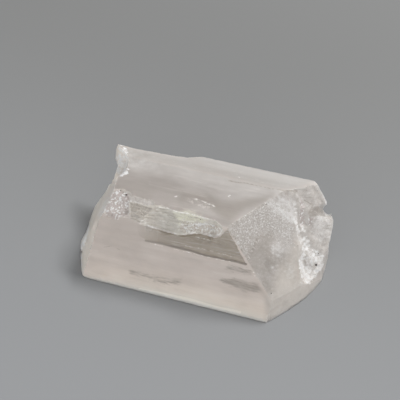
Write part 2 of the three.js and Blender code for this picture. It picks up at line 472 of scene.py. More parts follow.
MARKS = {
    "flake": (  # the long conchoidal chip along the ridge
        (None, ((-13.8, 9.5), (-12.4, 9.3), (-10.2, 8.7), (-8.9, 8.8), (-7.6, 8.6), (-6.2, 8.1),
            (-4.7, 7.6), (-2.9, 7.3), (-1.3, 6.8), (0.3, 6.5), (1.6, 6.1), (2.8, 5.5), (3.3, 4.6),
            (3.5, 3.9), (2.8, 3.4), (1.9, 3.0), (1.0, 3.2), (0.1, 3.6), (-1.1, 3.7), (-2.6, 3.7),
            (-3.7, 3.3), (-4.8, 3.3), (-6.0, 3.8), (-7.2, 4.0), (-8.4, 4.4), (-9.9, 4.9), (-11.2, 5.1),
            (-12.1, 5.4), (-13.0, 6.0), (-13.6, 6.5))),
    ),
    "pit": (  # hollows, darkened with painted shade
        (None, ((-13.6, 9.3), (-12.3, 9.1), (-10.2, 8.3), (-9.5, 8.0), (-10.0, 7.3), (-10.9, 6.7),
            (-12.1, 6.2), (-13.4, 6.5))),
        (None, ((19.6, 7.4), (20.2, 8.3), (21.5, 8.5), (23.3, 7.3), (23.4, 6.6), (22.0, 6.8), (20.7, 6.6),
            (19.9, 6.2))),
    ),
    "glow": (  # greenish light in the chip's crack
        (None, ((-5.3, 7.3), (-3.3, 7.5), (-1.7, 7.0), (-0.6, 6.5), (0.0, 5.7), (-0.6, 4.8), (-2.1, 4.6),
            (-3.4, 4.8), (-4.5, 5.6))),
    ),
    "sparkle": (  # crushed places: real facets, with painted glints in their colour
        (None, ((-4.4, 4.5), (-3.7, 5.7), (-2.3, 5.6), (-0.7, 5.4), (1.1, 5.2), (2.6, 4.8), (3.3, 4.0),
            (2.6, 3.2), (1.1, 3.2), (-0.7, 3.7), (-2.5, 3.8), (-3.8, 3.6))),
        (None, ((-16.8, 11.3), (-15.5, 11.5), (-14.2, 10.9), (-13.8, 10.0), (-13.9, 8.5), (-14.1, 7.1),
            (-15.1, 6.5), (-16.3, 6.1), (-17.4, 6.3), (-18.1, 6.9), (-18.5, 7.7), (-18.3, 8.8),
            (-17.8, 9.7), (-17.2, 10.4))),
        (0.35, ((18.2, 9.8), (18.5, 8.4), (18.3, 6.8), (18.6, 5.2))),
        (0.5, ((20.1, 5.9), (20.2, 5.3))),
    ),
    "window": (  # where the stone is clear and the dark inside shows; the milk there is painted shade, dark as the shadowed floor seen through
        (None, ((-12.5, 5.5), (-11.2, 5.0), (-9.5, 4.6), (-8.0, 4.2), (-6.6, 3.7), (-4.7, 3.2),
            (-3.3, 3.3), (-1.4, 3.6), (0.4, 3.3), (1.8, 2.8), (2.9, 3.1), (3.7, 4.0), (4.3, 4.5),
            (4.6, 3.6), (5.6, 2.0), (6.5, 0.1), (7.6, -1.9), (6.2, -1.5), (4.0, -1.1), (2.0, -0.7),
            (-0.2, -0.2), (-2.2, 0.4), (-4.0, 0.8), (-5.9, 1.3), (-8.1, 1.8), (-10.7, 2.2), (-12.0, 3.0))),
    ),
    "blush": (  # a smaller flake under the top face
        (None, ((-3.2, 10.1), (-1.3, 9.9), (0.4, 9.1), (1.2, 8.2), (0.4, 7.9), (-0.8, 8.5), (-2.2, 9.1),
            (-3.1, 9.6))),
    ),
    "white": (  # splintered white: the broken tip, the feather and the crest above it, and two painted glints on the top
        (None, ((-16.8, 19.8), (-15.9, 20.1), (-14.8, 19.3), (-14.5, 17.6), (-14.9, 16.1), (-13.9, 15.5),
            (-14.2, 14.7), (-15.3, 14.2), (-16.4, 14.4), (-17.1, 16.5), (-17.1, 18.3))),
        (0.3, ((-14.9, 15.3), (-14.4, 15.5))),
        (0.3, ((-15.7, 14.9), (-15.4, 14.9))),
        (0.45, ((21.9, -1.6), (22.9, -2.6), (22.6, -3.6))),
        (0.05, ((8.9, -3.2), (9.3, -3.9))),
        # two painted glints on the top face
        (-0.04, ((6.2, 14.0), (6.6, 13.9))),
        (0.18, ((4.5, 10.8), (4.7, 10.7))),
        (None, ((18.0, 2.5), (19.3, 2.8), (20.1, 2.0), (20.5, 0.7), (21.8, -0.1), (23.0, -1.1),
            (22.9, -2.5), (22.2, -4.2), (21.2, -5.9), (20.0, -6.4), (19.0, -5.4), (18.2, -3.5),
            (18.0, -1.6), (18.9, -0.2), (18.4, 1.2))),
        (0.28, ((16.5, 9.5), (17.1, 8.1), (17.2, 5.5))),
        (0.3, ((17.3, 5.5), (17.8, 3.6), (18.6, 1.5))),
        (0.2, ((18.4, 4.9), (18.9, 3.9))),
        (0.5, ((-23.9, 4.3), (-23.7, 2.4), (-24.3, 1.1), (-25.0, -0.5), (-25.0, -2.7), (-24.9, -4.3))),
    ),
    "smudge": (  # dusty veils close under the front face, and a grey streak in the feather
        (None, ((-9.9, -5.0), (-8.4, -5.3), (-6.1, -5.8), (-4.3, -5.4), (-4.5, -6.0), (-5.7, -6.3),
            (-7.4, -6.2), (-9.5, -5.7))),
        (None, ((3.2, -5.2), (5.2, -5.0), (7.6, -5.3), (9.8, -5.9), (10.7, -6.9), (9.6, -7.3), (8.2, -7.2),
            (6.3, -6.7), (4.1, -5.9))),
        (0.2, ((-14.0, -4.2), (-12.2, -4.5), (-9.9, -5.2))),
        (0.3, ((4.4, -2.8), (6.6, -3.2), (8.4, -3.5))),
        (-0.18, ((19.7, -0.9), (19.4, -2.1), (19.5, -3.3), (20.1, -4.4))),
    ),
    "lap": (  # where the end face runs on over the break without an edge
        (None, ((17.9, 2.3), (18.0, -1.6), (18.4, -3.9), (19.4, -6.1), (20.6, -6.2), (23.6, -5.5),
            (22.3, -9.3), (19.4, -12.4), (16.4, -14.5), (12.5, -15.5), (12.2, -8.9), (13.5, -3.9))),
    ),
    "shade": (  # broad dim bands
        (None, ((-4.4, 9.9), (-4.0, 11.3), (-1.6, 11.1), (0.6, 10.4), (2.2, 9.7), (2.7, 8.8), (1.8, 8.5),
            (-0.2, 9.2), (-2.2, 9.9))),
        (0.0, ((9.5, -6.2), (10.7, -7.3), (11.6, -8.7), (12.2, -10.1))),
        (0.2, ((-13.0, 17.8), (-12.2, 18.2), (-10.5, 18.3))),
        (None, ((0.2, 10.9), (1.9, 10.4), (3.3, 9.3), (5.5, 9.3), (8.0, 9.7), (10.6, 10.1), (12.5, 10.7),
            (10.6, 9.3), (8.3, 8.3), (6.1, 7.2), (4.5, 6.1), (3.2, 6.8), (1.8, 7.7), (0.6, 8.8),
            (-0.3, 9.8))),
    ),
    "frost": (  # where the end face is etched
        (None, ((4.6, 4.5), (5.9, 6.3), (8.3, 8.0), (10.5, 8.8), (13.0, 8.6), (15.6, 6.9), (17.4, 4.4),
            (18.0, 2.0), (16.0, 1.7), (13.7, 2.7), (11.7, 3.8), (9.8, 3.5), (8.7, 1.3), (7.6, -0.4),
            (5.9, 2.0))),
    ),
    "pale": (  # bright places on the end face and the breaks, one of them painted light at the left end
        (None, ((10.5, 8.9), (12.4, 9.9), (14.8, 10.4), (16.3, 9.8), (17.1, 8.2), (17.4, 5.6), (16.0, 5.2),
            (14.0, 7.1), (12.1, 8.2))),
        (None, ((12.3, 1.2), (13.7, 1.7), (14.7, 0.6), (14.5, -0.9), (13.3, -1.2), (12.5, -0.3))),
        (None, ((15.5, -1.9), (16.5, -2.7), (16.5, -4.7), (15.7, -5.1), (15.3, -3.5))),
        (0.2, ((12.9, -2.6), (13.1, -3.3))),
        # painted light on the broken face left of the crushed patch, which lies in shade
        (None, ((-19.6, 8.5), (-18.6, 10.0), (-17.2, 10.6), (-17.3, 8.6), (-18.1, 7.1), (-18.5, 5.6),
            (-19.3, 5.4), (-19.9, 7.0))),
        (None, ((21.4, 6.6), (23.3, 7.0), (24.3, 5.8), (24.6, 3.9), (23.7, 1.8), (22.0, 1.3), (20.9, 2.8),
            (20.7, 4.7))),
    ),
    "dark_line": (  # cracks, the dark edge of the clear zone as painted shade, and painted shade in two bites of the left edge
        (0.21, ((-10.8, 2.1), (-8.1, 1.7), (-5.9, 1.1), (-4.1, 0.7), (-2.2, 0.3), (-0.2, -0.4),
            (2.0, -0.8), (4.0, -1.2), (6.1, -1.6), (7.6, -2.0))),
        (0.07, ((-8.1, 2.0), (-5.9, 1.7), (-3.7, 1.0))),
        (0.07, ((0.2, 2.2), (2.2, 1.7), (4.3, 1.3))),
        (0.1, ((4.6, 13.3), (5.9, 13.0), (7.8, 12.8), (10.0, 12.3), (12.2, 11.8), (14.9, 11.4),
            (17.4, 11.3))),
        (0.08, ((1.2, 9.1), (1.8, 8.8))),
        (0.08, ((2.0, 8.5), (2.7, 8.8))),
        (0.07, ((-18.9, 0.7), (-17.3, 1.0), (-15.8, 0.2))),
        (0.1, ((4.4, -2.2), (6.6, -2.7), (8.0, -3.5))),
        # painted shade in the two bites of the left edge
        (0.22, ((-23.7, 1.1), (-23.6, 1.0))),
        (0.3, ((-24.6, -0.8), (-24.5, -0.7))),
        (0.04, ((22.6, 6.2), (24.2, 6.1))),
        (0.04, ((22.9, 5.6), (24.3, 5.4))),
        (0.04, ((22.6, 5.0), (24.2, 4.7))),
        (0.04, ((22.8, 4.3), (24.0, 4.1))),
        (0.05, ((18.9, 9.6), (20.1, 8.9), (21.6, 8.8))),
    ),
    "bright_line": (  # painted highlights: bright threads, the lit rims of the chip and a glint on the top
        (0.07, ((-1.6, 3.0), (0.2, 2.6), (2.0, 2.1), (3.8, 1.7))),
        (0.06, ((-3.3, 1.2), (-0.8, 0.9), (2.0, 0.2), (5.0, -0.6))),
        (0.07, ((-10.0, 1.6), (-8.9, 1.4), (-7.6, 1.1))),
        (0.06, ((-5.9, 0.7), (-3.5, 0.2), (-0.7, -0.5), (2.0, -1.1), (4.8, -1.6))),
        (0.1, ((-5.5, 10.2), (-4.8, 10.4))),
        (0.07, ((-2.5, 10.0), (-0.9, 9.7), (0.2, 9.3), (1.3, 8.8), (2.1, 8.4))),
        (0.09, ((-13.6, 9.5), (-10.2, 8.7), (-8.9, 8.2), (-7.1, 8.4), (-5.1, 7.6), (-2.5, 7.1),
            (-0.2, 6.4), (1.9, 6.0))),
        (0.09, ((-12.1, 5.4), (-9.9, 4.8), (-7.5, 4.0), (-5.1, 3.4), (-3.7, 3.4), (-1.1, 3.8), (0.4, 3.5),
            (1.9, 3.1), (2.8, 3.5), (3.3, 4.4))),
        (0.07, ((-3.6, 4.6), (-1.6, 4.9), (0.4, 4.6), (1.8, 4.1))),
        (0.1, ((-11.7, 5.6), (-10.4, 6.2), (-9.3, 7.3), (-8.3, 8.2))),
        (0.07, ((-11.5, 5.3), (-9.9, 5.5), (-8.4, 5.8), (-7.3, 5.8))),
        (0.08, ((18.2, -2.0), (18.3, -3.5), (19.0, -5.0), (20.0, -6.2))),
    ),
    "streak": (  # soft pale streaks that run along the prism
        (0.25, ((-10.0, 12.6), (-6.2, 11.7), (-2.5, 11.1), (0.4, 10.4))),
        (0.18, ((-1.4, 10.9), (0.4, 10.0), (1.8, 8.9))),
        (0.25, ((-6.2, 8.8), (-3.2, 8.6), (-0.7, 7.9), (1.8, 7.1))),
        (0.3, ((1.1, 12.2), (5.7, 11.5), (10.0, 11.5))),
        (0.3, ((-5.4, 14.1), (-0.7, 13.2), (3.4, 12.6))),
        (0.22, ((0.2, -1.9), (3.0, -2.5), (5.9, -2.8), (8.0, -3.1))),
        (0.3, ((2.1, -3.9), (5.2, -4.4), (7.7, -4.8))),
        (0.45, ((-0.7, -7.6), (3.4, -8.3), (7.9, -9.0), (10.8, -9.3))),
    ),
    "foot_line": (  # painted highlight along the bright edge at the foot
        (0.22, ((-12.4, -7.7), (-7.5, -8.5), (-2.7, -9.4), (2.1, -10.7), (6.8, -11.6))),
    ),
}


def distances_to_line(places, points):
    """How far each place is from a line through the points."""
    least = np.full(len(places), np.inf)
    for start, end in zip(points, points[1:]):
        start, along = np.array(start), np.array(end) - np.array(start)
        share = np.clip((places - start) @ along / (along @ along), 0, 1)
        away = np.linalg.norm(places - start - share[:, None] * along, axis=1)
        least = np.minimum(least, away)
    return least


def depth_in_mark(places, half_width, points):
    """How far inside a mark each place lies, and below nothing outside it."""
    if half_width is not None:
        return half_width - distances_to_line(places, points)
    loop = (*points, points[0])
    inside = np.zeros(len(places), bool)
    for (x1, y1), (x2, y2) in zip(loop, loop[1:]):
        if y1 != y2:
            crossing = (x2 - x1) * (places[:, 1] - y1) / (y2 - y1) + x1
            inside ^= ((y1 > places[:, 1]) != (y2 > places[:, 1])) & (places[:, 0] < crossing)
    away = distances_to_line(places, loop)
    return np.where(inside, away, -away)


def lay_out_marks(mesh):
    """Stores, for every kind of mark, how many millimetres inside it each vertex lies."""
    places = np.empty(len(mesh.vertices) * 3)
    mesh.vertices.foreach_get("co", places)
    places = places.reshape(-1, 3) / MM
    normals = np.empty(len(mesh.vertices) * 3)
    mesh.vertex_normals.foreach_get("vector", normals)
    faces_plan = normals.reshape(-1, 3) @ np.array(PLAN_TOWARDS) > TURNED_AWAY
    plan = places @ np.array([PLAN_ACROSS, PLAN_UP]).T
    for name, marks in MARKS.items():
        depth = np.max([depth_in_mark(plan, *mark) for mark in marks], axis=0)
        depth = np.where(faces_plan, depth, FAR_OUTSIDE).astype(np.float32)
        mesh.attributes.new(name, "FLOAT", "POINT").data.foreach_set("value", depth)


FEATHER_HEART = (23.2, 0.8, 4.5)  # where the shell-shaped break at the right end spreads from
CRYSTAL_MIDDLE = (0.0, 0.0, 7.0)
ROUNDED_CORNERS = ((23.55, 9.0, 9.0), (-21.9, -12.3, 0.0))  # the right tip and the lower left corner
EDGE_HOLLOWS = ((-22.9, -6.1, 2.2), (-23.5, -7.3, 0.5))  # two small bites in the left edge
PAST_LEFT_END = (-20.0 * MM, -15.0 * MM)  # where x leaves the left end, from its start to its end
BEHIND_FRONT = (-1.0 * MM, 1.5 * MM)  # where y leaves the front half
PAST_FEATHER = (4.5 * MM, 6.5 * MM)  # how far from its heart the feather ends
ABOVE_FLOOR = (0.5 * MM, 2.0 * MM)  # where z is high enough for a bruise
WORN_RISE = (0.0, 2.5 * MM)  # between these heights the wear reaches its full depth
FLOOR_EDGE = 0.3 * MM  # an edge lower than this stays sharp
RELIEF_SIZES = (
    "Striation Spacing", "Striation Depth", "Pit Size", "Pit Depth", "Hackle Size", "Hackle Depth",
    "Facet Size", "Facet Depth", "Step Width", "Step Depth", "Rib Spacing", "Rib Depth",
    "Chip Size", "Chip Depth", "Hollow Size", "Hollow Depth", "Corner Size", "Corner Depth",
    "Rounding Width", "Rounding Depth",
)


def relief_tree(material):
    """Cuts growth lines, pits, steps, ribs, facets and edge chips into the crystal, never outwards."""
    tree = GeometryTree("crystal_relief", RELIEF_SIZES)
    place = tree.node("GeometryNodeInputPosition")
    normal = tree.softened_normal(5)
    broken, end_face, base = (tree.softened(name) for name in ("broken", "end_face", "base"))
    edge = tree.attribute("edge")

    def waves(size, detail=2.0, stretch=(1.0, 1.0, 1.0)):
        return tree.noise(place * stretch / tree.given(size), 1.0, detail)

    def region(name, soft=0.15):
        return tree.attribute(name).between(-soft, soft)

    def near(point, size):
        """1 at a point, falling to 0 at a given size's distance from it."""
        return (1.0 - (place - metres(point)).length() / tree.given(size)).clipped()

    def facets(size):
        """Flat facets, each with its own lean: 0 where one is level."""
        spot = place / tree.given(size)
        lean, middle = (tree.cells(spot, 1.0, out=output) for output in (1, 2))
        return ((lean - (0.5, 0.5, 0.5)).dot(spot - middle) + 0.5).clipped()

    # Growth lines, etch pits, ridges on the breaks and facets in the crushed places.
    striation = waves("Striation Spacing", 3.0, (0.04, 1.0, 1.0)) * tree.given("Striation Depth")
    pit = tree.cells(place / tree.given("Pit Size"), 1.0)
    pits = (1.0 - pit).clipped() * tree.given("Pit Depth")
    hackle = waves("Hackle Size", 3.0) * tree.given("Hackle Depth")
    glitter = facets("Facet Size") * tree.given("Facet Depth")

    # Steps that follow the flake's outline, and ribs that spread from the feather's heart.
    flake = region("flake")
    stair = tree.attribute("flake") * MM / tree.given("Step Width")
    stair = stair + waves("Hackle Size", 2.0, (0.35, 1.0, 1.0)) * 3.0
    tread = tree.node("ShaderNodeMath", {"operation": "FLOOR"}, {0: stair})
    height = tree.node("ShaderNodeTexWhiteNoise", {"noise_dimensions": "1D"}, {"W": tread})
    steps = height * tree.given("Step Depth")

    away = (place - metres(FEATHER_HEART)).length()
    ring = away / tree.given("Rib Spacing") + waves("Hackle Size") * 0.4
    rib = tree.node("ShaderNodeMath", {"operation": "PINGPONG"}, {0: ring, 1: 0.5})
    ribs = rib * 2.0 * tree.given("Rib Depth")

    # Bruises here and there along the edges.
    near_edge = 1.0 - edge.between(0.0, tree.given("Chip Size") * 0.7)
    bruised = waves("Chip Size").between(0.45, 0.75) * place.part(2).between(*ABOVE_FLOOR)
    chips = near_edge * bruised * (1.0 - end_face) * tree.given("Chip Depth")

    # How deep all of these cut, where each of them is.
    grew = (1.0 - broken) * (1.0 - base) * (1.0 - end_face)
    left = 1.0 - place.part(0).between(*PAST_LEFT_END)
    lumpy = broken * (1.0 - left * 0.6) * (1.0 - region("window", 0.5))
    depth = grew * striation + end_face * pits + lumpy * hackle + chips
    depth = depth + flake * steps + region("sparkle", 0.3) * glitter
    feather = 1.0 - away.between(*PAST_FEATHER)
    depth = depth + region("white", 0.3) * (ribs * feather + glitter * 0.4)
    worn = (1.0 - edge / tree.given("Rounding Width")).clipped() ** 2.0 * tree.given("Rounding Depth")
    front = 1.0 - place.part(1).between(*BEHIND_FRONT)
    depth = depth + worn * left * front * place.part(2).between(*WORN_RISE)
    for hollow in EDGE_HOLLOWS:
        depth = depth + near(hollow, "Hollow Size") * tree.given("Hollow Depth")

    # The narrow face behind the top gets a soft border, then each point moves inwards.
    soft_bevel = {"Geometry": tree.given("Geometry"), "Name": "bevel", "Value": tree.softened("bevel", 16)}
    on_points = {"data_type": "FLOAT", "domain": "POINT"}
    stored = tree.node("GeometryNodeStoreNamedAttribute", on_points, soft_bevel)
    inwards = metres(CRYSTAL_MIDDLE) - place
    blunt = sum(near(corner, "Corner Size") ** 2.0 for corner in ROUNDED_CORNERS)
    goal = place - normal * depth + inwards * (blunt * tree.given("Corner Depth") / inwards.length())
    above_floor = {0: goal.part(0), 1: goal.part(1), 2: goal.part(2).most(0.0)}
    goal = tree.node("ShaderNodeCombineXYZ", {}, above_floor)
    moved = tree.node("GeometryNodeSetPosition", {}, {"Geometry": stored, "Position": goal})
    tree.finish(moved, material)
    return tree


def smooth_worn_edges(mesh):
    """Lets the light roll over the worn edges at the front of the left end, above the floor."""
    for edge in mesh.edges:
        first, second = (mesh.vertices[i].co for i in edge.vertices)
        middle = (first + second) / 2
        if middle.x < PAST_LEFT_END[1] and middle.y < 0 and middle.z > FLOOR_EDGE:
            edge.use_edge_sharp = False


# ---- What is sealed in the stone ---------------------------------------------------------------

# Each speck's middle and half width in millimetres: dark grains half sunk in the stone.
SPECKS = (
    (-14.67, -0.37, 15.00, 0.20), (-15.92, 0.16, 15.20, 0.14), (22.23, 1.77, 5.45, 0.14),
    (22.28, -0.14, 4.32, 0.27), (15.10, -8.47, 5.33, 0.16), (-0.14, -1.90, 14.98, 0.12),
)
SKIN_GAP = 0.02 * MM  # the least stone over anything that is sealed in it
ALONG_PRISM = ((0.0, 1.555, -0.02), (0.0, 1.585, 0.02))  # turns that lay an upright tube along the prism
ANY_WAY = ((0.0, 0.0, 0.0), (3.0, 3.0, 3.0))
TUBE_SHARES = ((0.4, 0.4, 0.15), (1.0, 1.0, 1.0))  # of the largest width and length
DROPLET_SHARES = ((0.3, 0.3, 0.3), (1.0, 1.0, 1.0))
LUMP_WIDTH = 0.16 * MM  # width of the lumps on a speck
SEALED_SIZES = ("Shallowest", "Deepest", "Width", "Length", "Density", "Fade")


def sealed_tree(name, mark, is_tube, material):
    """Strews growth tubes along the prism, or round droplets, under the faces that carry a mark."""
    tree = GeometryTree(name, SEALED_SIZES, ("Seed",))
    seed = tree.given("Seed")

    def chance(low, high, shift):
        """A number for each point, or a vector where the limits are vectors."""
        kind, first, out = ("FLOAT_VECTOR", 0, 0) if isinstance(low, tuple) else ("FLOAT", 2, 1)
        sockets = {first: low, first + 1: high, "Seed": seed + float(shift)}
        return tree.node("FunctionNodeRandomValue", {"data_type": kind}, sockets, out)

    crowd = tree.given("Density") * tree.attribute(mark).between(0.0, tree.given("Fade"))
    spread = {"Mesh": tree.given("Geometry"), "Density": crowd, "Seed": seed}
    points = tree.node("GeometryNodeDistributePointsOnFaces", {}, spread)
    down = points.also("Normal") * -chance(tree.given("Shallowest"), tree.given("Deepest"), 1)
    sunk = tree.node("GeometryNodeSetPosition", {}, {"Geometry": points, "Offset": down})
    radius = tree.given("Width") * 0.5
    if is_tube:
        sizes = {"Vertices": 6, "Radius": radius, "Depth": tree.given("Length")}
        shape = tree.node("GeometryNodeMeshCylinder", {}, sizes)
        turns, shares = ALONG_PRISM, TUBE_SHARES
    else:
        shape = tree.node("GeometryNodeMeshIcoSphere", {}, {"Radius": radius, "Subdivisions": 1})
        turns, shares = ANY_WAY, DROPLET_SHARES
    turn = tree.node("FunctionNodeEulerToRotation", {}, {0: chance(*turns, 2)})
    placed = {"Points": sunk, "Instance": shape, "Rotation": turn, "Scale": chance(*shares, 3)}
    tree.finish(tree.node("GeometryNodeInstanceOnPoints", {}, placed), material)
    return tree


def speck_tree(material):
    """A lumpy grain on each point, as wide as the point's own size."""
    tree = GeometryTree("specks", ("Lumps",))
    ball = tree.node("GeometryNodeMeshIcoSphere", {}, {"Radius": 1.0, "Subdivisions": 3})
    placed = {"Points": tree.given("Geometry"), "Instance": ball, "Scale": tree.attribute("half_width")}
    grains = tree.node("GeometryNodeInstanceOnPoints", {}, placed)
    real = tree.node("GeometryNodeRealizeInstances", {}, {"Geometry": grains})
    lumps = tree.noise(tree.node("GeometryNodeInputPosition"), LUMP_WIDTH) * -1.0 * tree.given("Lumps")
    offset = tree.node("GeometryNodeInputNormal") * lumps
    tree.finish(tree.node("GeometryNodeSetPosition", {}, {"Geometry": real, "Offset": offset}), material)
    return tree


def keep_sealed(obj, skin):
    """Removes every grain or tube that touches or leaves the crystal."""
    mesh = bmesh.new()
    mesh.from_mesh(obj.data)
    surface = BVHTree.FromBMesh(skin)
    outside = set()
    for vert in mesh.verts:
        near, normal, _, _ = surface.find_nearest(vert.co)
        if (near - vert.co).dot(normal) < SKIN_GAP:
            outside.add(vert)
    front = list(outside)
    while front:
        vert = front.pop()
        linked = {edge.other_vert(vert) for edge in vert.link_edges} - outside
        outside |= linked
        front += linked
    bmesh.ops.delete(mesh, geom=list(outside), context="VERTS")
    if not mesh.faces:
        raise RuntimeError(f"nothing is left of {obj.name}")
    mesh.to_mesh(obj.data)
    mesh.free()


# ---- Finishes ----------------------------------------------------------------------------------

FLOOR_CHANGE = (-60 * MM, 70 * MM)  # from where to where the floor darkens with painted shade, front to back
TUBE_GLEAM = 0.5 * MM  # about how long a growth tube gleams or stays dim
MOTTLE = 0.15 * MM  # width of the mottles in dust and dirt


